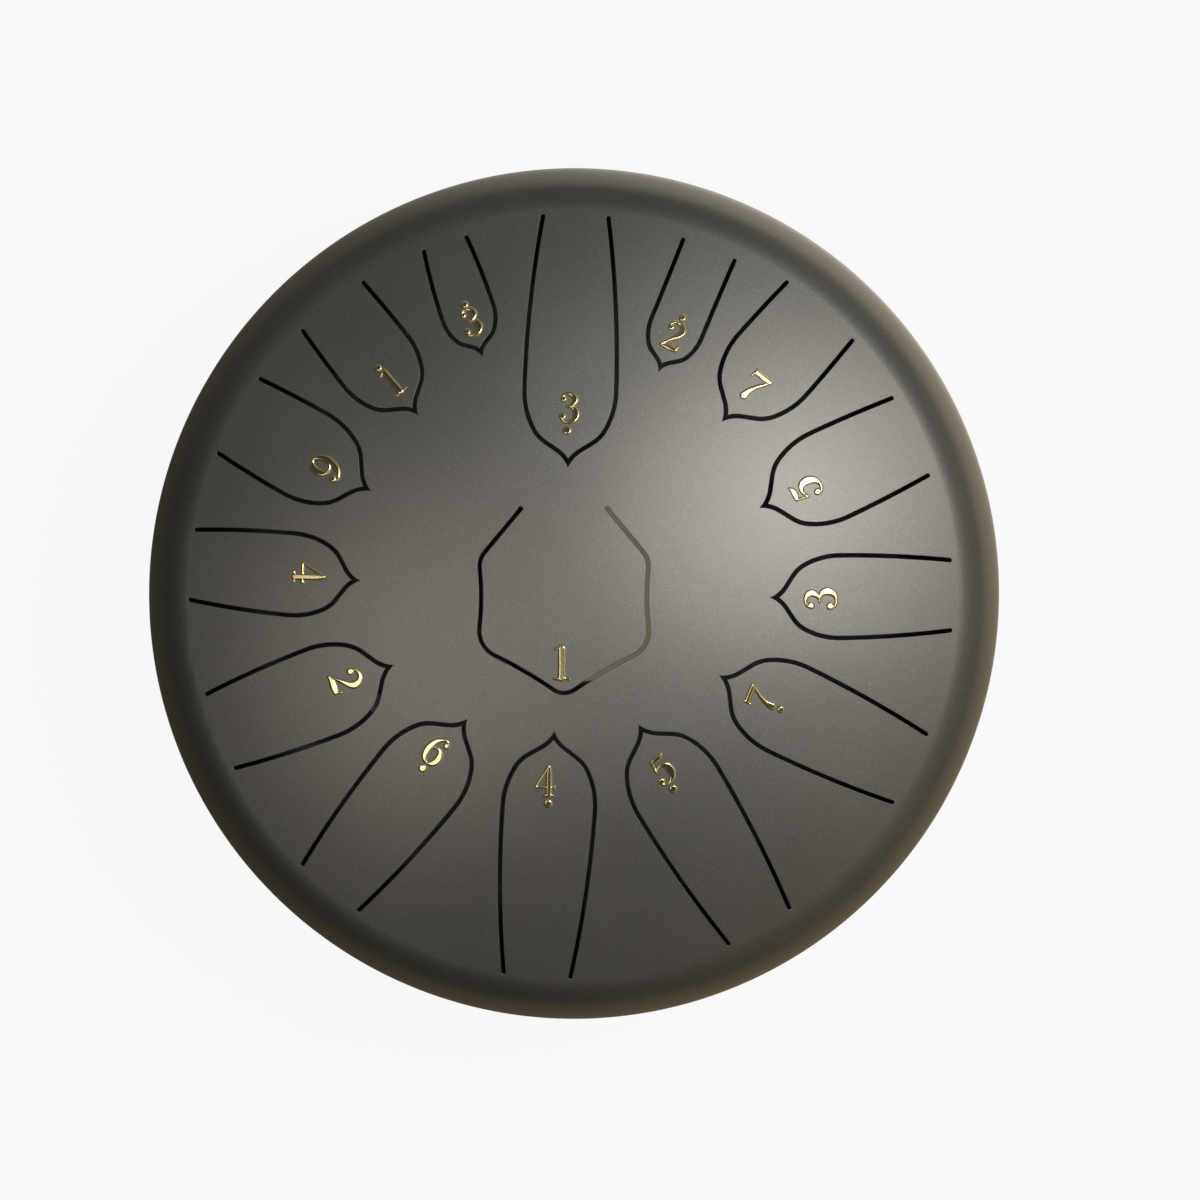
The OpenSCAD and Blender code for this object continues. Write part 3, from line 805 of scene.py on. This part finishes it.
# Painted reflection: the floor glows in mirrors only, in two lobes on the right, towards +Y and -Y, over
# a dim level, in place of a room's light.
east, north = (far * far_off.work("POWER", far_off, -0.5) for far in (far_x, far_y))
painted_reflection_ne, painted_reflection_se = (0.5 + 0.32 * east + way * 0.38 * north for way in (1, -1))
painted_reflection_ne, painted_reflection_se = (way.work("POWER", way, 4.0) for way in (painted_reflection_ne, painted_reflection_se))
mirrored = 0.09 + 0.95 * painted_reflection_ne + 0.22 * painted_reflection_se
# Painted glow: under the sound hole the floor glows a warm brown tone to the camera, instead of white.
in_hole = 1.0 - (far_off > HOLE_VIEW_R ** 2)
shown = white.mix(in_hole, grey(1.0), (1.22, 1.04, 0.74, 1.0))
# The painted reflection's tint: browner towards -Y.
warm = white.mix(0.5 - 0.5 * north, (1.10, 1.0, 0.86, 1.0), (1.32, 1.0, 0.60, 1.0))
glow = white.node("Emission", None, {
    "Color": white.mix(glossy_ray, shown, warm),
    "Strength": seen + glossy_ray * (UNDER_GLOW + open_floor * (mirrored - UNDER_GLOW))})
share = seen * glow_share_with_painted_shade + glossy_ray
blend = white.node("MixShader", None, {0: share, 1: Wire(white.tree, white.shader.outputs[0]), 2: glow})
from_below = white.node("NewGeometry", output=6)
blend = white.node("MixShader", None, {0: from_below, 1: blend, 2: white.node("BsdfTransparent")})
white.tree.links.new(blend.socket, white.tree.nodes["Material Output"].inputs["Surface"])
floor.data.materials.append(white.material)


LAMP_FAR = 2.2


def lamp(name, direction, size, power, colour):
    """A soft rectangular lamp that faces the drum, on the line of a direction from it."""
    light = bpy.data.lights.new(name, "AREA")
    light.shape, light.size, light.size_y = "RECTANGLE", *size
    light.energy, light.color = power, colour
    holder = bpy.data.objects.new(name, light)
    bpy.context.scene.collection.objects.link(holder)
    line = Vector(direction).normalized()
    holder.location = LAMP_FAR * line
    holder.rotation_euler = line.to_track_quat("Z", "Y").to_euler()


lamp("key_lamp", (0.33, 0.135, 1.0), (0.42, 0.9), 9.6, (1.0, 0.99, 0.98))
lamp("key_strip", (0.3587, 0.147, 1.0), (1.04, 0.42), 3.6, (1.0, 0.99, 0.98))
lamp("warm_lamp", (-0.257, -0.12, 1.0), (0.82, 0.74), 4.2, (1.0, 0.96, 0.90))

# The room is dim above, brighter in a band of walls all round and most of all on the right, and
# dark near the floor. A direction's height is 1 straight up. The camera sees it white.
world = bpy.data.worlds.new("studio")
bpy.context.scene.world = world
room = Nodes(world)
x, y, z = room.split(room.node("TexCoord"))
band = room.node("ValToRGB", {"stops": [
    (0.0, grey(0.10)), (1.0, grey(0.02)), (0.10, grey(0.08)), (0.24, grey(0.36)), (0.45, grey(0.36)),
    (0.60, grey(0.24)), (0.77, grey(0.80)), (0.85, grey(0.80)), (0.90, grey(0.02))]}, {0: z})
side = 0.12 + 0.9 * x * (x > 0.0) + 0.25 * y * (y > 0.0)
tint = room.mix(0.5 - 0.5 * y, (0.97, 1.0, 1.0, 1.0), (1.12, 1.0, 0.78, 1.0))
backdrop = room.node("LightPath")
colour = room.mix(backdrop, tint, grey(1.0))
strength = 0.93 * backdrop + (1.0 - backdrop) * band * side
room.tree.links.new(colour.socket, room.tree.nodes["Background"].inputs["Color"])
room.tree.links.new(strength.socket, room.tree.nodes["Background"].inputs["Strength"])

# The camera hangs over the drum, a little off its middle, and is turned so that +Y is up.
LENS, SENSOR = 142.44, 36.0
camera = bpy.data.objects.new("camera", bpy.data.cameras.new("camera"))
bpy.context.scene.collection.objects.link(camera)
bpy.context.scene.camera = camera
camera.data.lens, camera.data.sensor_width = LENS, SENSOR
eye, aim = Vector((0.020, 0.040, 2.086)), Vector((0.0107, -0.00295, 0.086))
ahead = (aim - eye).normalized()
right = ahead.cross(Vector((0, 1, 0))).normalized()
above = right.cross(ahead)
camera.matrix_world = Matrix.Translation(eye) @ Matrix((right, above, -ahead)).transposed().to_4x4()
bpy.context.scene.view_settings.view_transform = "Standard"
